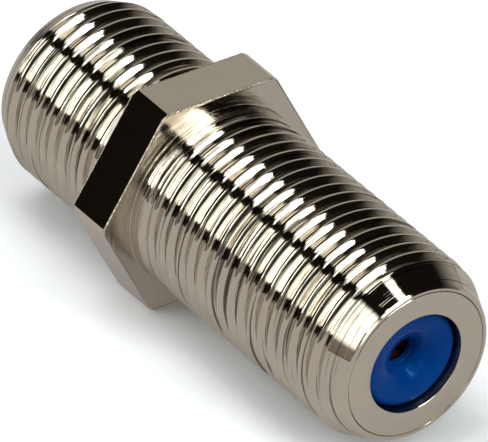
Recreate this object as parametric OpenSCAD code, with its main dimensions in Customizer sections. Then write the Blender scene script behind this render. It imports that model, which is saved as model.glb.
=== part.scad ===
// Double-ended F coaxial coupler (female to female), 75 ohm type.
// A turned shell with a hex collar and a threaded post each side of it,
// holding two moulded insulators, one spring contact and a pressed-in
// end ring. The connector's axis is X. x = 0 is the front face of the
// hex collar, the long post points along +X, and +Z is the normal of
// the upper hex flat. All sizes are in millimetres.

/* [Thread posts] */
// Major diameter of both external threads (3/8-32 UNEF is 9.525)
thread_d = 9.525; // [9.4:0.005:9.6]
// Length of the long post, from the hex face to the end face
long_len = 15.85; // [12:0.05:20]
// Length of the short post, from the hex face to the end face
short_len = 8.7; // [7:0.05:12]
// Length of the tapered nose on the long post
long_nose_len = 1.6; // [1:0.05:2]
// Radius of the long post's rim, where the taper meets the end bevel
long_rim_r = 4.06; // [4.02:0.01:4.3]
// Length of the tapered nose on the short post
short_nose_len = 1.3; // [0.8:0.05:2]
// Radius of the short post's rim
short_rim_r = 4.2; // [4.05:0.01:4.3]
// Length of the small bevel between a rim and its end face
rim_bevel = 0.06; // [0.04:0.01:0.2]
// Radial width of that bevel, on the end face
rim_edge = 0.1; // [0.04:0.01:0.15]

/* [Hex collar] */
// Distance across the flats of the hex
hex_af = 11; // [10.8:0.01:11.2]
// Thickness of the hex along the axis
hex_len = 2.5; // [2:0.05:4]
// Diameter of the bar that the hex is cut from, which trims its corners
hex_bar_d = 12.5; // [12:0.05:12.6]

/* [Bores of the shell] */
// Radius of the opening in each end face
mouth_r = 2.58; // [2.4:0.01:2.8]
// Radius of the main bore, which holds the insulators
bore_r = 3.3; // [3.1:0.05:3.4]
// Thickness of the shell's own lip at the short end
lip_len = 1.2; // [0.8:0.05:1.5]
// Radius of the seat for the end ring, at the long end
ring_seat_r = 3.83; // [3.7:0.01:3.85]
// Depth of that seat, which is the end ring's thickness
ring_len = 1.2; // [0.8:0.05:1.3]

/* [Insulators] */
// Depth of each insulator's face below its end face
face_recess = 0.36; // [0.2:0.01:0.5]
// Depth from the end face to the edge of the throat, down the funnel
throat_depth = 1.3; // [1:0.05:1.5]
// Radius of the throat, where the cable's inner wire goes in
throat_r = 0.68; // [0.6:0.01:0.8]
// Length of the throat
throat_len = 0.3; // [0.25:0.05:1]
// Radius of the cavity that the contact sits in
cavity_r = 1.35; // [1.3:0.01:1.6]
// Radial gap between an insulator's boss and the mouth around it
boss_gap = 0.03; // [0.02:0.01:0.08]
// Position of the joint between the two insulators
joint_x = 2.25; // [0:0.05:4]

/* [Contact] */
// Outer radius of the rolled contact's barrel
contact_r = 1.3; // [1.15:0.01:1.3]
// Thickness of the contact's strip
contact_t = 0.2; // [0.15:0.01:0.3]
// Inner radius where the fingers pinch the wire
pinch_r = 0.32; // [0.28:0.01:0.4]
// Length of the straight land at the pinch
pinch_len = 0.6; // [0.3:0.1:1]
// Width of the slits between the fingers
slit_w = 0.22; // [0.15:0.01:0.3]
// Length of each set of fingers
finger_len = 7.5; // [5:0.1:9]
// Clearance between each end of the contact and its insulator
end_gap = 0.15; // [0.1:0.05:0.4]

/* [Hidden] */
$fn = 96;
e = 0.01;
thread_r = thread_d / 2;
x_long = long_len;
x_short = -hex_len - short_len;
// the contact fills the cavities apart from end_gap at each end
long_throat_in = x_long - throat_depth - throat_len;
short_throat_in = x_short + throat_depth + throat_len;
contact_a = short_throat_in + end_gap;
contact_b = long_throat_in - end_gap;

// revolve a profile of [x along the axis, radius] points about X
module turned(pts) {
    rotate([0, 90, 0])
        rotate_extrude()
            polygon([for (p = pts) [p[1], p[0]]]);
}

// nose of a post: rim bevel, then a straight taper up to the thread.
// xe is the end face, d is +1 where the post points along +X, else -1
function nose(xe, d, len, rim_r) = [
    [xe, rim_r - rim_edge],
    [xe - d * rim_bevel, rim_r],
    [xe - d * len, thread_r]
];

function rev(v) = [for (i = [len(v) - 1:-1:0]) v[i]];

// outside of the shell's round stock, closed on the axis
module post_stock() {
    turned(concat(
        [[x_short, 0]],
        nose(x_short, -1, short_nose_len, short_rim_r),
        rev(nose(x_long, 1, long_nose_len, long_rim_r)),
        [[x_long, 0]]
    ));
}

// hex collar with its corners trimmed to the bar's diameter
module hex_collar() {
    translate([-hex_len, 0, 0])
        rotate([0, 90, 0])
            intersection() {
                rotate([0, 0, 30])
                    cylinder(r = hex_af / sqrt(3), h = hex_len, $fn = 6);
                cylinder(d = hex_bar_d, h = hex_len);
            }
}

// the one turned piece: both posts, the collar, the lip at the short end
module body_shell() {
    color("silver")
        difference() {
            union() {
                post_stock();
                hex_collar();
            }
            // mouth through the short end's lip
            translate([x_short - 1, 0, 0])
                rotate([0, 90, 0])
                    cylinder(r = mouth_r, h = lip_len + 2);
            // main bore, from the lip to the ring's seat
            translate([x_short + lip_len, 0, 0])
                rotate([0, 90, 0])
                    cylinder(r = bore_r, h = x_long - ring_len - x_short - lip_len + e);
            // seat for the end ring, open at the long end
            translate([x_long - ring_len, 0, 0])
                rotate([0, 90, 0])
                    cylinder(r = ring_seat_r, h = ring_len + 1);
        }
}

// washer-like ring pressed into the long end, which closes it
module end_ring() {
    color("gainsboro")
        difference() {
            translate([x_long - ring_len, 0, 0])
                rotate([0, 90, 0])
                    cylinder(r = ring_seat_r, h = ring_len);
            translate([x_long - ring_len - 1, 0, 0])
                rotate([0, 90, 0])
                    cylinder(r = mouth_r, h = ring_len + 2);
        }
}

// One insulator, as a profile from its end face inwards. xe is the end
// face of the shell there, d its direction, lip the length of the
// narrow mouth in front of the main bore, and xj the joint in the middle.
// The funnel's sides follow a quarter of an ellipse, steep at the throat.
funnel_in = face_recess;
function funnel(xe, d) = [
    for (k = [0:1:8])
        let (a = k * 90 / 8,
             r = throat_r + 0.05 + (mouth_r - 0.42 - throat_r) * (1 - cos(a)),
             depth = throat_depth - (throat_depth - funnel_in) * sin(a))
        [xe - d * depth, r]
];

module insulator(xe, d, lip, xj) {
    turned(concat(
        funnel(xe, d),
        [
            [xe - d * face_recess, mouth_r - boss_gap - 0.32],
            [xe - d * (face_recess + 0.05), mouth_r - boss_gap - 0.18],
            [xe - d * (face_recess + 0.18), mouth_r - boss_gap - 0.05],
            [xe - d * (face_recess + 0.36), mouth_r - boss_gap],
            [xe - d * lip, mouth_r - boss_gap],
            [xe - d * lip, bore_r],
            [xj, bore_r],
            [xj, cavity_r],
            [xe - d * (throat_depth + throat_len), cavity_r],
            [xe - d * (throat_depth + throat_len), throat_r],
            [xe - d * (throat_depth + 0.05), throat_r]
        ]
    ));
}

module long_insulator() {
    color("royalblue")
        insulator(x_long, 1, ring_len, joint_x);
}

module short_insulator() {
    color("royalblue")
        insulator(x_short, -1, lip_len, joint_x);
}

// One side of a finger, from its flared tip at x towards the barrel. s is
// the direction inwards and t is 0 for the inner side, contact_t for the outer
function finger_line(x, s, t) = [
    [x, 0.72 + t],
    [x + s * 0.75, pinch_r + t],
    [x + s * (0.75 + pinch_len), pinch_r + t],
    [x + s * finger_len, contact_r - contact_t + t]
];

// Rolled strip with a set of four spring fingers at each end. The
// fingers draw in to the pinch, then flare to a lead-in at the tip.
module spring_contact() {
    color("peru")
        difference() {
            turned(concat(
                finger_line(contact_a, 1, 0),
                rev(finger_line(contact_b, -1, 0)),
                finger_line(contact_b, -1, contact_t),
                rev(finger_line(contact_a, 1, contact_t))
            ));
            // slits between the fingers, crossed at each end
            for (x = [contact_a - 1, contact_b - finger_len + 1])
                for (t = [45, 135])
                    rotate([t, 0, 0])
                        translate([x, -slit_w / 2, -contact_r - 1])
                            cube([finger_len, slit_w, 2 * contact_r + 2]);
            // seam along the rolled barrel, in line with one slit
            rotate([45, 0, 0])
                translate([contact_a - 1, -0.03, 0])
                    cube([contact_b - contact_a + 2, 0.06, contact_r + 1]);
        }
}

body_shell();
end_ring();
long_insulator();
short_insulator();
spring_contact();
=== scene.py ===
import math

import bpy
import numpy as np
from mathutils import Matrix, Vector


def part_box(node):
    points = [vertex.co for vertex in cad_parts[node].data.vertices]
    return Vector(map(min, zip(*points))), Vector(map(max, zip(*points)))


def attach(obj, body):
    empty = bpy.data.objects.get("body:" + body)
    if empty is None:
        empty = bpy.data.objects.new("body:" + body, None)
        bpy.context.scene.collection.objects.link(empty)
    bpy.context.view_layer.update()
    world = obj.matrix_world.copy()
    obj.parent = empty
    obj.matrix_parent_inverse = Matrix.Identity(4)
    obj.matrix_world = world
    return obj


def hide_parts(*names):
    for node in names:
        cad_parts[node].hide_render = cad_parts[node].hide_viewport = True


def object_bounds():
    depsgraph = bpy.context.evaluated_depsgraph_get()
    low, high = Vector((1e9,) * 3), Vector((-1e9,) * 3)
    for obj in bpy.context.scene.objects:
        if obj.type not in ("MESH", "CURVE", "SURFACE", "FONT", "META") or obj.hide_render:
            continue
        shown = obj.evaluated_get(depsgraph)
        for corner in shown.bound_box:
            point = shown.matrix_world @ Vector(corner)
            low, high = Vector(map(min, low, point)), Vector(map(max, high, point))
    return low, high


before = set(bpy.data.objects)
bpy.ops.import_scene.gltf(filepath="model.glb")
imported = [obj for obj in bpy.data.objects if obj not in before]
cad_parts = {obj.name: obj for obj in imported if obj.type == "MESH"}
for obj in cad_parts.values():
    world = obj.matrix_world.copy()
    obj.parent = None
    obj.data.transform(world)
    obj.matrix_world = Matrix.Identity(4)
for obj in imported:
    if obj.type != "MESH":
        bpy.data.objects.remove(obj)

cad_lo, cad_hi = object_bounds()
MM = 0.001
ROOT = "root"

# ---------------------------------------------------------------- sizes, mm
shell_lo, shell_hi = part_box("body_shell")
ring_lo, ring_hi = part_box("end_ring")
long_lo, long_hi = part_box("long_insulator")
short_lo, short_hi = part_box("short_insulator")

X0 = shell_lo.x / MM             # end face of the short post
X1 = shell_hi.x / MM             # end face of the long post
HEX_T = 2.5                      # the hex collar runs from -HEX_T to 0
HEX_IN = shell_hi.z / MM         # half of the size across its flats
HEX_OUT = shell_hi.y / MM        # radius of the bar, which trims its corners
R = 4.7625                       # major radius of the thread
P = 0.79375                      # pitch, 32 turns an inch
MOUTH = 2.58
BORE = 3.3
SEAT = ring_hi.y / MM
SEAT_X = ring_lo.x / MM
LIP_X = X0 + 1.2
LONG_NOSE, LONG_RIM = 1.6, 4.06
SHORT_NOSE, SHORT_RIM = 1.3, 4.2
RIM_BEVEL, RIM_EDGE = 0.06, 0.1

# ---------------------------------------------------------------- mesh tools
# Sections are rings of N points about X. The columns meet the hex collar's
# corners, at 0, 60, 120 ... degrees from +Y towards +Z.
CORNER, ARC = 1.64, 1.3
TH = []
for k in range(6):
    for a in (-CORNER, -ARC, ARC, CORNER):
        TH.append(60 * k + a)
    for n in range(1, 22):
        TH.append(60 * k + CORNER + (60 - 2 * CORNER) * n / 22)
TH = np.array(TH)
N = len(TH)
RAD = np.radians(TH)
COS, SIN = np.cos(RAD), np.sin(RAD)


class Builder:
    """Collects points and faces of one closed mesh, with a normal for each face corner."""

    def __init__(self, cos=COS, sin=SIN):
        self.co, self.faces, self.normals = [], [], []
        self.cos, self.sin, self.n = cos, sin, len(cos)

    def points(self, x, r):
        """Adds points at x and radius r, one for each column, and returns their numbers."""
        x = np.broadcast_to(np.asarray(x, float), (self.n,))
        r = np.broadcast_to(np.asarray(r, float), (self.n,))
        start = len(self.co)
        self.co.extend(zip(x, r * self.cos, r * self.sin))
        return np.arange(start, start + self.n)

    def normal(self, nx, nr):
        """A normal for each column, from its share along X and outwards."""
        size = math.hypot(nx, nr)
        out = np.zeros((self.n, 3))
        out[:, 0] = nx / size
        out[:, 1] = nr / size * self.cos
        out[:, 2] = nr / size * self.sin
        return out

    def face(self, ids, normals):
        kept, kn = [], []
        for i, nn in zip(ids, normals):
            if not kept or kept[-1] != i:
                kept.append(int(i)); kn.append(nn)
        if len(kept) > 1 and kept[0] == kept[-1]:
            kept.pop(); kn.pop()
        if len(kept) < 3 or len(set(kept)) < len(kept):
            return
        self.faces.append(tuple(kept))
        self.normals.extend(kn)

    def band(self, a, b, na, nb):
        """Quads between two rings, in the direction that the section is walked."""
        for j in range(self.n):
            k = (j + 1) % self.n
            self.face((a[j], a[k], b[k], b[j]), (na[j], na[k], nb[k], nb[j]))

    def mesh(self, name, material):
        me = bpy.data.meshes.new(name)
        me.from_pydata([tuple(c * MM for c in p) for p in self.co], [], self.faces)
        me.polygons.foreach_set("use_smooth", [True] * len(me.polygons))
        me.materials.append(material)
        me.update()
        me.normals_split_custom_set([tuple(v) for v in self.normals])
        me.validate()
        o = bpy.data.objects.new(name, me)
        bpy.context.scene.collection.objects.link(o)
        return o


def unit(v):
    return v / np.linalg.norm(v, axis=-1, keepdims=True)


# ---------------------------------------------------------------- thread
# Section of one pitch, s in mm from the middle of a crest towards +X
WC = 0.0260                     # half width of the crest's flat
ROOT_S = 0.6193 * P             # where the root is
A1, M1 = 0.7515, 1.990          # front flank: its slope grows up to M1
A2, B2 = 0.12, 0.7760         # back flank: nearly straight
PHASE = 0.295 - P * 88 / 360    # a crest's place at 0 degrees

_s = np.linspace(0, P, 2049)


def _ramp(u, a, b):
    return np.where(u < a, u / max(a, 1e-3), np.where(u < b, 1.0, np.clip((1 - u) / max(1 - b, 1e-3), 0, 1)))


_front = np.where((_s > WC) & (_s <= ROOT_S), _ramp(np.clip((_s - WC) / (ROOT_S - WC), 0, 1), A1, A1), 0) * M1
_back = np.where((_s < P - WC) & (_s > ROOT_S), _ramp(np.clip((P - _s - WC) / (P - ROOT_S - WC), 0, 1), A2, B2), 0)
M2 = _front.sum() / _back.sum()
_slope = _back * M2 - _front
_drop = np.concatenate([[0], np.cumsum((_slope[1:] + _slope[:-1]) / 2)]) * (_s[1] - _s[0])
_drop = -(_drop - _drop[-1] * np.linspace(0, 1, len(_s)))   # depth below the crest, 0 at both ends


def depth(sigma):
    """Depth of the thread below its crest where x less the helix is sigma."""
    return np.interp(np.mod(sigma - PHASE, P), _s, _drop)


ROWS = np.array([-0.026, 0.0, 0.026, 0.07, 0.125, 0.18, 0.235, 0.29, 0.335, 0.3747, 0.41, 0.45, 0.4916, 0.523, 0.5545, 0.612, 0.67, 0.71, 0.733, 0.755])


def smooth(a, b, x):
    t = np.clip((x - a) / (b - a), 0, 1)
    return t * t * (3 - 2 * t)


def smin(a, b, k):
    h = np.clip(0.5 + 0.5 * (b - a) / k, 0, 1)
    return b * (1 - h) + a * h - k * h * (1 - h)


def nose(d, rim, length):
    """Radius of a post's tapered nose at a distance d behind its end face."""
    return np.interp(d, [0, RIM_BEVEL, length, length + 5], [rim - RIM_EDGE, rim, R, R + 2.2])


NECK_END = 1.25


def tool_lines(x):
    """Fine turned ridges of the neck, where the thread runs out."""
    w = smooth(0.05, 0.3, x) * smooth(NECK_END + 0.1, NECK_END - 0.5, x)
    return w * 0.0045 * (np.sin(x * 2 * np.pi / 0.131 + 0.7) + 0.7 * np.sin(x * 2 * np.pi / 0.197 + 2.0) + 0.5 * np.sin(x * 2 * np.pi / 0.089))


def long_r(x, th):
    t = depth(x - P * th / 360)
    fade = smooth(0.35, 1.75, x) * (1 - smooth(X1 - 1.15, X1 - 0.55, x))
    return smin(R - 0.010 * smooth(1.6, 1.2, x) - t * fade + tool_lines(x), nose(X1 - x, LONG_RIM, LONG_NOSE), 0.03)


def short_r(x, th):
    t = depth(x - P * th / 360)
    fade = smooth(-HEX_T - 0.35, -HEX_T - 1.2, x) * (1 - smooth(X0 + 1.0, X0 + 0.5, x))
    return smin(R - t * fade, nose(x - X0, SHORT_RIM, SHORT_NOSE), 0.03)


def wall_normals(x, th, r, radius, cos, sin):
    h, ht = 2e-4, 0.01
    rx = (radius(x + h, th) - radius(x - h, th)) / (2 * h)
    rt = (radius(x, th + ht) - radius(x, th - ht)) / (2 * math.radians(ht))
    return unit(np.stack([-rx, cos + sin * rt / r, sin - cos * rt / r], -1))


def rings(b, ring, xa, xb, step, radius):
    """Plain rings from xa to xb, on the wall that radius() gives. Returns the last ring and its place."""
    xs = np.linspace(xa, xb, int(round((xb - xa) / step)) + 1)
    last, ln = ring, wall_normals(np.full(N, xa), TH, radius(np.full(N, xa), TH), radius, COS, SIN)
    for x in xs[1:]:
        x = np.full(N, x)
        r = radius(x, TH)
        new, nn = b.points(x, r), wall_normals(x, TH, r, radius, COS, SIN)
        b.band(last, new, ln, nn)
        last, ln = new, nn
    return last, xb


def thread(b, ring_a, xa, ring_b, xb, radius):
    """Fills the wall between two rings with rows that follow the helix."""
    m = len(ROWS)
    k0 = math.floor((xa - P - PHASE) / P) - 1
    k1 = math.ceil((xb - PHASE) / P) + 1
    sigma = np.concatenate([PHASE + P * k + ROWS for k in range(k0, k1)])
    n_i = len(sigma)
    x = sigma[:, None] + P * TH[None, :] / 360
    tol = 0.012
    ids = np.full((n_i, N), -1, int)
    low, high = x < xa + tol, x > xb - tol
    th = np.broadcast_to(TH[None, :], x.shape)
    r = radius(x, th)
    h = 2e-4
    rx = (radius(x + h, th) - radius(x - h, th)) / (2 * h)
    ht = 0.01
    rt = (radius(x, th + ht) - radius(x, th - ht)) / (2 * math.radians(ht))
    nr = np.stack([-rx, COS[None] + SIN[None] * rt / r, SIN[None] - COS[None] * rt / r], -1)
    nr = unit(nr)
    for i in range(n_i):
        for j in range(N):
            if low[i, j]:
                ids[i, j] = ring_a[j]
            elif high[i, j]:
                ids[i, j] = ring_b[j]
            else:
                ids[i, j] = len(b.co)
                b.co.append((x[i, j], r[i, j] * COS[j], r[i, j] * SIN[j]))
    # the rings' own normals
    for ring, xr, side in ((ring_a, xa, low), (ring_b, xb, high)):
        dr = (radius(np.full(N, xr) + h, TH) - radius(np.full(N, xr) - h, TH)) / (2 * h)
        v = unit(np.stack([-dr, COS, SIN], -1))
        for j in range(N):
            nr[side[:, j], j] = v[j]
    for i in range(n_i - 1):
        for j in range(N):
            if j + 1 < N:
                a2, b2, na, nb = ids[i, j + 1], ids[i + 1, j + 1], nr[i, j + 1], nr[i + 1, j + 1]
            elif i + m + 1 < n_i:
                a2, b2, na, nb = ids[i + m, 0], ids[i + 1 + m, 0], nr[i + m, 0], nr[i + 1 + m, 0]
            else:
                a2 = b2 = ring_b[0]
                na = nb = nr[-1, 0]
            b.face((ids[i, j], a2, b2, ids[i + 1, j]), (nr[i, j], na, nb, nr[i + 1, j]))


# ---------------------------------------------------------------- shell
def hex_r(inset):
    """Radius of the hex collar's outline at each column."""
    off = np.radians(np.mod(TH, 60) - 30)
    return np.minimum((HEX_IN - inset) / np.cos(off), HEX_OUT - inset)


def hex_normal():
    """Normal of the collar's side at each column: a flat's, or the round corner's."""
    local = np.mod(TH + 30, 60) - 30           # 0 at a corner
    corner = np.abs(local) < (ARC + CORNER) / 2
    flat = np.radians(np.floor(TH / 60) * 60 + 30)
    return np.stack([np.zeros(N), np.where(corner, COS, np.cos(flat)), np.where(corner, SIN, np.sin(flat))], -1)


def make_shell(material):
    b = Builder()
    fore, aft, out, inn = b.normal(1, 0), b.normal(-1, 0), b.normal(0, 1), b.normal(0, -1)
    bev = 0.045
    # short end face, from the mouth outwards
    mouth = b.points(X0 + 0.03, MOUTH)
    r1 = b.points(X0, MOUTH + 0.03)
    r2 = b.points(X0, 3.3)
    r3 = b.points(X0, SHORT_RIM - RIM_EDGE)
    rim = b.points(X0 + RIM_BEVEL, SHORT_RIM)
    b.band(mouth, r1, b.normal(-1, -1), aft)
    b.band(r1, r2, aft, aft)
    b.band(r2, r3, aft, aft)
    b.band(r3, rim, b.normal(-RIM_EDGE, RIM_BEVEL), b.normal(-RIM_EDGE, RIM_BEVEL))
    # short post
    neck = b.points(-HEX_T - 0.04, R)
    thread(b, rim, X0 + RIM_BEVEL, neck, -HEX_T - 0.04, short_r)
    # collar
    side = hex_normal()
    foot = b.points(-HEX_T, R + 0.04)
    b.band(neck, foot, out, aft)
    inset = hex_r(bev)
    mid = b.points(-HEX_T, R + 0.04 + (inset - R - 0.04) * 0.5)
    edge = b.points(-HEX_T, inset)
    b.band(foot, mid, aft, aft)
    b.band(mid, edge, aft, aft)
    back = b.points(-HEX_T + bev, hex_r(0))
    front = b.points(-bev, hex_r(0))
    b.band(edge, back, aft, side)
    b.band(back, front, side, side)
    edge = b.points(0, inset)
    b.band(front, edge, side, fore)
    mid = b.points(0, R + 0.04 + (inset - R - 0.04) * 0.5)
    foot = b.points(0, R + 0.04)
    b.band(edge, mid, fore, fore)
    b.band(mid, foot, fore, fore)
    # long post
    neck = b.points(0.04, R)
    b.band(foot, neck, fore, out)
    neck, x_neck = rings(b, neck, 0.04, NECK_END, 0.033, long_r)
    rim = b.points(X1 - RIM_BEVEL, LONG_RIM)
    thread(b, neck, x_neck, rim, X1 - RIM_BEVEL, long_r)
    # long end: bevel, seat for the ring, bores
    r0 = b.points(X1, LONG_RIM - RIM_EDGE)
    r1 = b.points(X1, SEAT + 0.025)
    r2 = b.points(X1 - 0.04, SEAT)
    r3 = b.points(SEAT_X, SEAT)
    r4 = b.points(SEAT_X, BORE)
    r5 = b.points((SEAT_X + LIP_X) / 2, BORE)
    r6 = b.points(LIP_X, BORE)
    r7 = b.points(LIP_X, MOUTH)
    b.band(rim, r0, b.normal(RIM_EDGE, RIM_BEVEL), b.normal(RIM_EDGE, RIM_BEVEL))
    b.band(r0, r1, fore, fore)
    b.band(r1, r2, b.normal(0.5, -1), b.normal(0.5, -1))
    b.band(r2, r3, inn, inn)
    b.band(r3, r4, fore, fore)
    b.band(r4, r5, inn, inn)
    b.band(r5, r6, inn, inn)
    b.band(r6, r7, fore, fore)
    b.band(r7, mouth, inn, inn)
    o = b.mesh("nickel_shell", material)
    return o


# ---------------------------------------------------------------- turned pieces
def turned(name, section, material, n=144, sharp=35.0):
    """A closed mesh from a section of (x, r) points, walked with its outside on the left.
    Normals are smooth where the section turns by less than `sharp` degrees."""
    a = np.linspace(0, 2 * np.pi, n, endpoint=False)
    b = Builder(np.cos(a), np.sin(a))
    pts = np.array(section, float)
    m = len(pts)
    rings = [b.points(p[0], p[1]) for p in pts]
    seg = np.roll(pts, -1, 0) - pts
    seg_n = unit(np.stack([-seg[:, 1], seg[:, 0]], -1))      # (x, r) share, outwards
    for i in range(m):
        k = (i + 1) % m
        here = seg_n[i]

        def at(v, other):
            if here @ other > math.cos(math.radians(sharp)):
                w = here + other
                return b.normal(w[0], w[1])
            return b.normal(here[0], here[1])

        b.band(rings[i], rings[k], at(i, seg_n[i - 1]), at(k, seg_n[k]))
    return b.mesh(name, material)


# ---------------------------------------------------------------- node tools
class Nodes:
    """Short calls that add nodes to a tree."""

    def __init__(self, tree):
        self.t = tree

    def put(self, socket, value):
        if isinstance(value, bpy.types.NodeSocket):
            self.t.links.new(value, socket)
        elif value is not None:
            socket.default_value = value

    def math(self, op, a, b=None, c=None, clamp=False):
        n = self.t.nodes.new("ShaderNodeMath")
        n.operation, n.use_clamp = op, clamp
        for s, v in zip(n.inputs, (a, b, c)):
            self.put(s, v)
        return n.outputs[0]

    def add(self, a, b): return self.math("ADD", a, b)
    def sub(self, a, b): return self.math("SUBTRACT", a, b)
    def mul(self, a, b): return self.math("MULTIPLY", a, b)

    def step(self, x, a, b, lo=0.0, hi=1.0, kind="SMOOTHSTEP"):
        """lo where x is a, hi where x is b, smooth between and held past them."""
        n = self.t.nodes.new("ShaderNodeMapRange")
        n.interpolation_type = kind
        if kind == "LINEAR":
            n.clamp = True
        if a > b:
            a, b, lo, hi = b, a, hi, lo
        self.put(n.inputs["Value"], x)
        self.put(n.inputs["From Min"], a)
        self.put(n.inputs["From Max"], b)
        self.put(n.inputs["To Min"], lo)
        self.put(n.inputs["To Max"], hi)
        return n.outputs[0]

    def vector(self, x, y, z):
        n = self.t.nodes.new("ShaderNodeCombineXYZ")
        for s, v in zip(n.inputs, (x, y, z)):
            self.put(s, v)
        return n.outputs[0]

    def split(self, v):
        n = self.t.nodes.new("ShaderNodeSeparateXYZ")
        self.put(n.inputs[0], v)
        return n.outputs

    def noise(self, vector, scale, detail=2.0, rough=0.5, dims="3D"):
        n = self.t.nodes.new("ShaderNodeTexNoise")
        n.noise_dimensions = dims
        self.put(n.inputs["Vector"], vector)
        n.inputs["Scale"].default_value = scale
        n.inputs["Detail"].default_value = detail
        n.inputs["Roughness"].default_value = rough
        return n.outputs["Fac"] if "Fac" in n.outputs else n.outputs[0]

    def mix(self, fac, a, b):
        n = self.t.nodes.new("ShaderNodeMix")
        n.data_type = "RGBA"
        self.put(n.inputs[0], fac)
        self.put(n.inputs[6], a)
        self.put(n.inputs[7], b)
        return n.outputs[2]

    def scaled(self, fac, colour):
        """A colour times a factor."""
        n = self.t.nodes.new("ShaderNodeVectorMath")
        n.operation = "SCALE"
        n.inputs[0].default_value = colour
        self.put(n.inputs["Scale"], fac)
        return n.outputs[0]

    def sum(self, a, b):
        n = self.t.nodes.new("ShaderNodeVectorMath")
        n.operation = "ADD"
        self.put(n.inputs[0], a)
        self.put(n.inputs[1], b)
        return n.outputs[0]

    def object_coords(self):
        return self.t.nodes.new("ShaderNodeTexCoord").outputs["Object"]

    def bump(self, height, strength, distance, normal=None):
        n = self.t.nodes.new("ShaderNodeBump")
        n.inputs["Strength"].default_value = strength
        n.inputs["Distance"].default_value = distance
        self.put(n.inputs["Height"], height)
        if normal is not None:
            self.put(n.inputs["Normal"], normal)
        return n.outputs[0]


def new_material(name):
    m = bpy.data.materials.new(name)
    m.use_nodes = True
    bsdf = m.node_tree.nodes["Principled BSDF"]
    return m, Nodes(m.node_tree), bsdf


# ---------------------------------------------------------------- materials
NICKEL = (0.60, 0.535, 0.46)
SEAM = math.radians(132.3)


def nickel_shell():
    m, n, bsdf = new_material("nickel_shell")
    x, y, z = n.split(n.object_coords())
    # angle about X, with its seam on the side under the long post
    u = n.add(n.mul(y, math.cos(SEAM)), n.mul(z, math.sin(SEAM)))
    v = n.add(n.mul(y, -math.sin(SEAM)), n.mul(z, math.cos(SEAM)))
    angle = n.math("ARCTAN2", v, u)
    helix = n.sub(n.mul(x, 1 / MM), n.mul(angle, P / (2 * math.pi)))
    radius = n.mul(n.math("SQRT", n.add(n.mul(y, y), n.mul(z, z))), 1 / MM)
    lines = n.vector(n.mul(helix, 13.0), n.mul(y, 110.0), n.mul(z, 110.0))
    patch = n.noise(n.vector(n.mul(helix, 1.5), n.mul(y, 500.0), n.mul(z, 500.0)), 1.0, 2.0, 0.5)
    fine = n.mul(n.noise(lines, 1.0, 3.0, 0.65), n.step(patch, 0.3, 0.65, 0.25, 1.0))
    # how far from the nearest crest, in mm
    turn = n.math("FRACT", n.add(n.mul(n.sub(helix, PHASE + P * math.degrees(SEAM) / 360), 1 / P), 100.5))
    past_crest = n.mul(n.sub(turn, 0.5), P)
    from_crest = n.math("ABSOLUTE", past_crest)
    on_nose = n.step(n.mul(x, 1 / MM), X1 - LONG_NOSE + 0.1, X1 - LONG_NOSE + 0.5)
    fine = n.mul(n.mul(fine, n.step(from_crest, 0.03, 0.08)), n.step(on_nose, 0, 1, 1.0, 0.3))
    # dark patches from noise on the flanks, away from the crests, which darken the colour below
    flank_patches = n.noise(n.vector(n.mul(helix, 8.5), n.mul(y, 90.0), n.mul(z, 90.0)), 1.0, 2.0, 0.6)
    flank_patches = n.mul(n.step(flank_patches, 0.585, 0.625), n.step(from_crest, 0.05, 0.10))
    # painted shadow: a dark line along the back of each crest, where a burr would shade it
    burr_shadow = n.mul(n.mul(n.step(past_crest, -0.085, -0.065), n.step(past_crest, -0.012, -0.03)), n.sub(1.0, on_nose))
    # tool marks on the collar and the end faces run round the axis
    rings = n.vector(n.mul(radius, 9.0), n.mul(y, 60.0), n.mul(z, 60.0))
    round_marks = n.noise(rings, 1.0, 4.0, 0.7)
    on_post = n.mul(n.mul(n.step(radius, R + 0.06, R + 0.03), n.step(radius, 3.9, 4.0)),
                    n.mul(n.step(n.mul(x, 1 / MM), X0 + 0.02, X0 + 0.08), n.step(n.mul(x, 1 / MM), X1 - 0.02, X1 - 0.08)))
    height = n.add(n.mul(fine, on_post), n.mul(n.mul(round_marks, 0.3), n.sub(1.0, on_post)))
    # small burrs on the collar's front and back edges
    to_edge = n.math("MINIMUM", n.math("ABSOLUTE", n.mul(x, 1 / MM)), n.math("ABSOLUTE", n.add(n.mul(x, 1 / MM), HEX_T)))
    across = n.math("ABSOLUTE", n.mul(z, 1 / MM))
    for side in (-1, 1):
        tilted = n.add(n.mul(z, 0.5 / MM), n.mul(y, side * math.sin(math.radians(60)) / MM))
        across = n.math("MAXIMUM", across, n.math("ABSOLUTE", tilted))
    beads = n.noise(n.object_coords(), 6500.0, 2.0, 0.6)
    height = n.add(height, n.mul(n.mul(beads, 2.5), n.mul(n.step(to_edge, 0.08, 0.05), n.step(across, 5.40, 5.44))))
    grain = n.noise(n.object_coords(), 9000.0, 3.0, 0.6)
    rough = n.step(grain, 0.3, 0.75, 0.03, 0.07)
    n.put(bsdf.inputs["Roughness"], rough)
    tone = n.noise(n.object_coords(), 900.0, 3.0, 0.6)
    plate = n.mix(n.step(tone, 0.35, 0.7), (0.66, 0.595, 0.517, 1), (0.68, 0.61, 0.523, 1))
    # painted shade: the burr shadow lines, with the dark flank patches, darken the plating's colour, at half strength
    # next to the collar
    patches_and_burr_shadow = n.mul(n.mul(n.math("MAXIMUM", n.mul(flank_patches, 0.8), n.mul(burr_shadow, 0.85)), on_post), n.step(n.math("ABSOLUTE", n.mul(x, 1 / MM)), 0.6, 1.4, 0.5, 1.0))
    n.put(bsdf.inputs["Base Color"], n.mix(patches_and_burr_shadow, plate, (0.05, 0.042, 0.034, 1)))
    bsdf.inputs["Metallic"].default_value = 1.0
    n.put(bsdf.inputs["Normal"], n.bump(height, 1.0, 2.2e-5))
    return m


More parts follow.
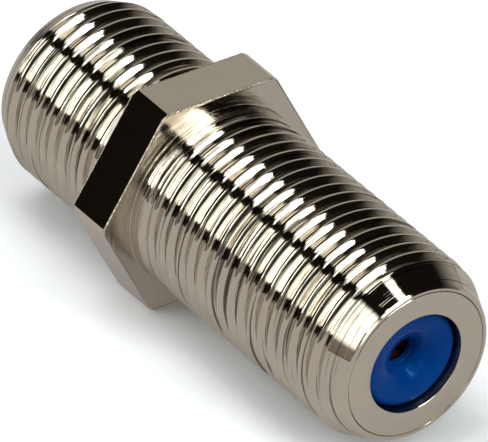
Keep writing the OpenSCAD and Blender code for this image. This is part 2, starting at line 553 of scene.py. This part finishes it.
def nickel_ring():
    m, n, bsdf = new_material("nickel_ring")
    x, y, z = n.split(n.object_coords())
    radius = n.mul(n.math("SQRT", n.add(n.mul(y, y), n.mul(z, z))), 1 / MM)
    rings = n.vector(n.mul(radius, 10.0), n.mul(y, 80.0), n.mul(z, 80.0))
    marks = n.noise(rings, 1.0, 3.0, 0.6)
    grain = n.noise(n.object_coords(), 12000.0, 3.0, 0.6)
    # the punched bore is dull, and its colour is darkened as painted shade in the recess
    in_bore = n.step(radius, MOUTH + 0.012, MOUTH + 0.002)
    n.put(bsdf.inputs["Roughness"], n.add(n.step(grain, 0.3, 0.75, 0.07, 0.13), n.mul(in_bore, 0.15)))
    tone = n.noise(n.object_coords(), 700.0, 3.0, 0.6)
    plate = n.mix(n.step(tone, 0.35, 0.7), (0.66, 0.598, 0.518, 1), (0.68, 0.608, 0.523, 1))
    # painted shade: inside the bore the plating's colour turns dark blue-grey
    n.put(bsdf.inputs["Base Color"], n.mix(n.mul(in_bore, 0.85), plate, (0.06, 0.07, 0.09, 1)))
    bsdf.inputs["Metallic"].default_value = 1.0
    n.put(bsdf.inputs["Normal"], n.bump(marks, 1.0, 6e-7))
    return m


def blue_insulator():
    m, n, bsdf = new_material("blue_insulator")
    c = n.object_coords()
    cloud = n.noise(c, 500.0, 3.0, 0.55)
    n.put(bsdf.inputs["Base Color"], n.mix(n.step(cloud, 0.35, 0.7), (0.0005, 0.032, 0.180, 1), (0.0005, 0.038, 0.202, 1)))
    grain = n.noise(c, 7000.0, 2.0, 0.5)
    n.put(bsdf.inputs["Roughness"], n.step(grain, 0.3, 0.7, 0.06, 0.12))
    bsdf.inputs["IOR"].default_value = 1.22
    bsdf.inputs["Specular IOR Level"].default_value = 0.5
    bsdf.inputs["Specular Tint"].default_value = (0.10, 0.45, 0.85, 1)
    n.put(bsdf.inputs["Normal"], n.bump(grain, 1.0, 1.5e-6))
    return m


def contact_bronze():
    m, n, bsdf = new_material("contact_bronze")
    c = n.object_coords()
    stain = n.noise(c, 1500.0, 4.0, 0.6)
    n.put(bsdf.inputs["Base Color"], n.mix(n.step(stain, 0.3, 0.7), (0.17, 0.035, 0.012, 1), (0.10, 0.018, 0.008, 1)))
    x, y, z = n.split(c)
    rolled = n.noise(n.vector(n.mul(x, 400.0), n.mul(y, 9000.0), n.mul(z, 9000.0)), 1.0, 2.0, 0.5)
    n.put(bsdf.inputs["Roughness"], n.step(rolled, 0.3, 0.7, 0.28, 0.42))
    bsdf.inputs["Metallic"].default_value = 1.0
    n.put(bsdf.inputs["Normal"], n.bump(rolled, 1.0, 1e-6))
    return m


mat_shell, mat_ring, mat_blue, mat_bronze = nickel_shell(), nickel_ring(), blue_insulator(), contact_bronze()

# ---------------------------------------------------------------- pieces
shell = make_shell(mat_shell)
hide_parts("body_shell")
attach(shell, ROOT)

# The ring: broken edges in front, plain behind
ring = turned("ring_of_end", [
    (SEAT_X, MOUTH), (SEAT_X, SEAT - 0.01), (X1 - 0.05, SEAT - 0.01), (X1 - 0.012, SEAT - 0.03), (X1, SEAT - 0.045),
    (X1, 3.4), (X1, 2.9), (X1, MOUTH + 0.035), (X1 - 0.012, MOUTH + 0.012), (X1 - 0.035, MOUTH)][::-1], mat_ring)
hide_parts("end_ring")
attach(ring, ROOT)


def insulator_section(xe, d, lip, xj):
    """Section of one insulator from its end face xe, which points along d."""
    recess, throat_depth, throat, length, cavity = 0.36, 1.3, 0.68, 0.3, 1.35
    pts = [(xe - d * (throat_depth + length), cavity), (xe - d * (throat_depth + length), throat),
           (xe - d * (throat_depth + 0.10), throat), (xe - d * (throat_depth + 0.03), throat + 0.015)]
    for k in range(0, 25):
        a = math.radians(k * 90 / 24)
        pts.append((xe - d * (throat_depth - (throat_depth - recess) * math.sin(a)), throat + 0.05 + (MOUTH - 0.42 - throat) * (1 - math.cos(a))))
    edge = MOUTH - 0.03
    for k in range(0, 10):
        a = math.radians(k * 10)
        pts.append((xe - d * (recess + 0.36 * (1 - math.cos(a))), edge - 0.32 * (1 - math.sin(a))))
    pts += [(xe - d * (recess + 0.42), edge),
            (xe - d * (lip - 0.02), edge), (xe - d * (lip + 0.005), edge + 0.02), (xe - d * (lip + 0.005), BORE - 0.06), (xe - d * (lip + 0.05), BORE - 0.012),
            (xj + d * 0.02, BORE - 0.012), (xj, BORE - 0.03), (xj, cavity)]
    return pts


xj = long_lo.x / MM
long_pts = insulator_section(X1, 1, X1 - SEAT_X, xj)
blue_long = turned("insulator_of_long_end", long_pts[::-1], mat_blue)
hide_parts("long_insulator")
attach(blue_long, ROOT)
short_pts = insulator_section(X0, -1, 1.2, xj)
blue_short = turned("insulator_of_short_end", short_pts, mat_blue)
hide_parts("short_insulator")
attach(blue_short, ROOT)

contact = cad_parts["spring_contact"]
contact.data.materials.clear()
contact.data.materials.append(mat_bronze)

# ---------------------------------------------------------------- camera
cam_data = bpy.data.cameras.new("camera")
cam_data.sensor_fit = "HORIZONTAL"
cam_data.sensor_width = 36.0
cam_data.lens = 1110.894
cam_data.clip_start, cam_data.clip_end = 0.05, 20.0
camera = bpy.data.objects.new("camera", cam_data)
bpy.context.scene.collection.objects.link(camera)
right = Vector((0.585858, 0.807807, 0.064946))
up = -Vector((0.490023, -0.289274, -0.822313))
back = -Vector((-0.645483, 0.513584, -0.565318))
place = Vector((452.7108, -358.2744, 394.3125)) * MM
camera.matrix_world = Matrix(((right.x, up.x, back.x, place.x), (right.y, up.y, back.y, place.y), (right.z, up.z, back.z, place.z), (0, 0, 0, 1)))
bpy.context.scene.camera = camera

# ---------------------------------------------------------------- floor
FLOOR_Z = cad_lo.z


def disc(name, z, material, radii=(0.03, 0.08, 0.2, 0.6), n_f=96):
    """A flat round sheet, for the floor."""
    ang = np.linspace(0, 2 * np.pi, n_f, endpoint=False)
    verts, faces = [(0, 0, z)], []
    for rr in radii:
        verts += [(rr * math.cos(t), rr * math.sin(t), z) for t in ang]
    for j in range(n_f):
        k = (j + 1) % n_f
        faces.append((0, 1 + j, 1 + k))
        for i in range(len(radii) - 1):
            faces.append((1 + i * n_f + j, 1 + (i + 1) * n_f + j, 1 + (i + 1) * n_f + k, 1 + i * n_f + k))
    me = bpy.data.meshes.new(name)
    me.from_pydata(verts, [], faces)
    me.materials.append(material)
    o = bpy.data.objects.new(name, me)
    bpy.context.scene.collection.objects.link(o)
    return o


def paper(name, low, high, glow=0.0):
    m, n, bsdf = new_material(name)
    grain = n.noise(n.object_coords(), 400.0, 3.0, 0.5)
    n.put(bsdf.inputs["Base Color"], n.mix(n.step(grain, 0.3, 0.7), low, high))
    bsdf.inputs["Roughness"].default_value = 0.9
    bsdf.inputs["Specular IOR Level"].default_value = 0.0
    if glow:
        n.put(bsdf.inputs["Emission Color"], n.mix(n.step(grain, 0.3, 0.7), low, high))
        bsdf.inputs["Emission Strength"].default_value = glow
    return m


# The sheet that is seen, and a greyer one just under it, which lights the part
# and is what the metal mirrors. That one also glows, as painted light that lifts the shade the part casts on it
floor = disc("floor", FLOOR_Z, paper("pale_floor", (0.90, 0.90, 0.95, 1), (0.92, 0.92, 0.97, 1)))
floor.visible_glossy = False
floor.visible_diffuse = False
floor.visible_shadow = False
# painted light: the grey table glows (emission 0.92), filling its own shadow under the part
table = disc("table", FLOOR_Z - 0.00002, paper("grey_table", (0.223, 0.216, 0.210, 1), (0.235, 0.228, 0.222, 1), 0.92))
table.visible_camera = False

# ---------------------------------------------------------------- light
# The studio: soft boxes and the dark gaps between them, by direction. The map's
# middle is overhead, and U and V are degrees from there towards +X and +Y.
world = bpy.data.worlds.new("studio")
bpy.context.scene.world = world
world.use_nodes = True
t = world.node_tree
n = Nodes(t)
t.nodes.clear()
out = t.nodes.new("ShaderNodeOutputWorld")
bg = t.nodes.new("ShaderNodeBackground")
t.links.new(bg.outputs[0], out.inputs[0])
dx, dy, dz = n.split(t.nodes.new("ShaderNodeTexCoord").outputs["Generated"])
polar = n.mul(n.math("ARCCOSINE", dz), 180 / math.pi)
flat = n.math("MAXIMUM", n.math("SQRT", n.add(n.mul(dx, dx), n.mul(dy, dy))), 1e-5)
U = n.mul(polar, n.math("DIVIDE", dx, flat))
V = n.mul(polar, n.math("DIVIDE", dy, flat))


def line(points):
    """Height over U of a line through these points, straight between them."""
    c = t.nodes.new("ShaderNodeFloatCurve")
    u0, u1 = points[0][0], points[-1][0]
    v = [p[1] for p in points]
    v0, v1 = min(v), max(v) + 1e-6
    curve = c.mapping.curves[0]
    for i, p in enumerate(points):
        place = ((p[0] - u0) / (u1 - u0), (p[1] - v0) / (v1 - v0))
        if i == 0:
            q = curve.points[0]
            q.location = place
        elif i == len(points) - 1:
            q = curve.points[-1]
            q.location = place
        else:
            q = curve.points.new(*place)
    for q in curve.points:
        q.handle_type = "VECTOR"
    c.mapping.update()
    n.put(c.inputs["Value"], n.step(U, u0, u1, kind="LINEAR"))
    return n.add(n.mul(c.outputs[0], v1 - v0), v0)


def above(value, edge, soft):
    """1 where value is over edge."""
    return n.step(n.sub(value, edge), -soft, soft)


def below(value, edge, soft):
    return n.step(n.sub(value, edge), soft, -soft)


def product(*f):
    r = f[0]
    for g in f[1:]:
        r = n.mul(r, g)
    return r


total = None


def layer(mask, colour):
    global total
    piece = n.scaled(mask, colour)
    total = piece if total is None else n.sum(total, piece)


layer(1.0, (0.009, 0.007, 0.005))
# the big box, over the front
top = line([(-90, -16.6), (90, 35.6)])
bottom = line([(-60, -16), (-30, -16), (0, -19), (25, -17.2), (80, -1.1), (95, 3.3)])
big = product(below(V, top, 0.8), above(V, bottom, 0.8), n.step(U, -37, -22), n.step(U, 80, 74))
# the tapered nose and the neck each mirror only a narrow strip of it
def strip(u0, u1, soft=1.5):
    return n.mul(n.step(U, u0 - soft, u0 + soft), n.step(U, u1 + soft, u1 - soft))


nose_strip, neck_strip = strip(0, 16), strip(42, 53)
nose_gap = n.mul(nose_strip, n.sub(1.0, n.mul(n.step(V, 0, 3), n.step(V, 13, 10))))
neck_fade = n.mul(neck_strip, n.step(V, 8, -12, 0.35, 0.93))
layer(product(big, n.step(U, -5, 25, 2.3, 3.4), n.sub(1.0, nose_gap), n.sub(1.0, neck_fade)), (1, 1.06, 1.0))
layer(product(n.step(V, 11, 14), n.step(V, 21, 18), n.step(U, 30, 36), n.step(U, 74, 68)), (17, 18, 18))
# the long panel on the left, lit from both ends
top = line([(-60, -28), (-40, -28), (0, -31), (30, -25), (70, -8), (95, 2)])
bottom = line([(-60, -68), (-40, -70), (0, -75), (40, -67), (70, -46), (84, -38), (95, -32)])
panel = product(below(V, top, 0.8), above(V, bottom, 1.0))
W = n.sub(U, n.sub(n.mul(V, -0.25), 27.5))
key = n.add(n.mul(n.step(W, 4, -3), 5.0), n.mul(n.step(W, 14, -3), 0.2))
layer(product(panel, key, n.step(U, -42, -37)), (1, 1.05, 1.02))
layer(product(nose_strip, n.step(V, -26, -33), n.step(V, -78, -70), n.step(U, 16, 12)), (2.2, 2.3, 2.2))
panel = n.mul(panel, n.sub(1.0, n.mul(strip(34, 66, 3), 0.95)))
panel = n.mul(panel, n.sub(1.0, product(strip(44, 66), n.step(V, -57, -63), 0.9)))
layer(n.mul(panel, n.add(n.mul(n.step(U, 44, 90), 2.1), n.mul(n.step(U, 30, 62), 0.22))), (1.0, 1.10, 0.98))
layer(n.mul(panel, n.step(W, -3, 3)), (0.13, 0.11, 0.07))
# the table's far edge, under that panel
layer(product(below(V, bottom, 1.0), n.step(polar, 91, 89), n.step(U, -12, 2), n.step(U, 90, 78), n.sub(1.0, n.mul(nose_strip, 0.5)), n.sub(1.0, n.mul(strip(34, 66, 3), 0.95))), (0.46, 0.42, 0.36))
# grey wall on the right and behind
wall = n.math("MAXIMUM", n.mul(n.step(V, 58, 88), n.step(U, 75, 30)), n.mul(n.step(U, -12, -45), n.step(V, 0, 20)))
layer(n.mul(wall, n.step(polar, 91, 89)), (0.47, 0.46, 0.415))
t.links.new(total, bg.inputs["Color"])
bg.inputs["Strength"].default_value = 0.91
bpy.context.scene.view_settings.view_transform = "Standard"

# A soft lamp overhead for the paper, which the metal doesn't mirror
lamp_data = bpy.data.lights.new("overhead", "AREA")
lamp_data.shape = "DISK"
lamp_data.size = 0.5
lamp_data.energy = 2.5
lamp = bpy.data.objects.new("overhead", lamp_data)
lamp.location = (-0.1, -0.2, 0.8)
lamp.rotation_euler = (Vector((0, 0, 0)) - Vector(lamp.location)).to_track_quat("-Z", "Y").to_euler()
lamp.visible_glossy = False
bpy.context.scene.collection.objects.link(lamp)
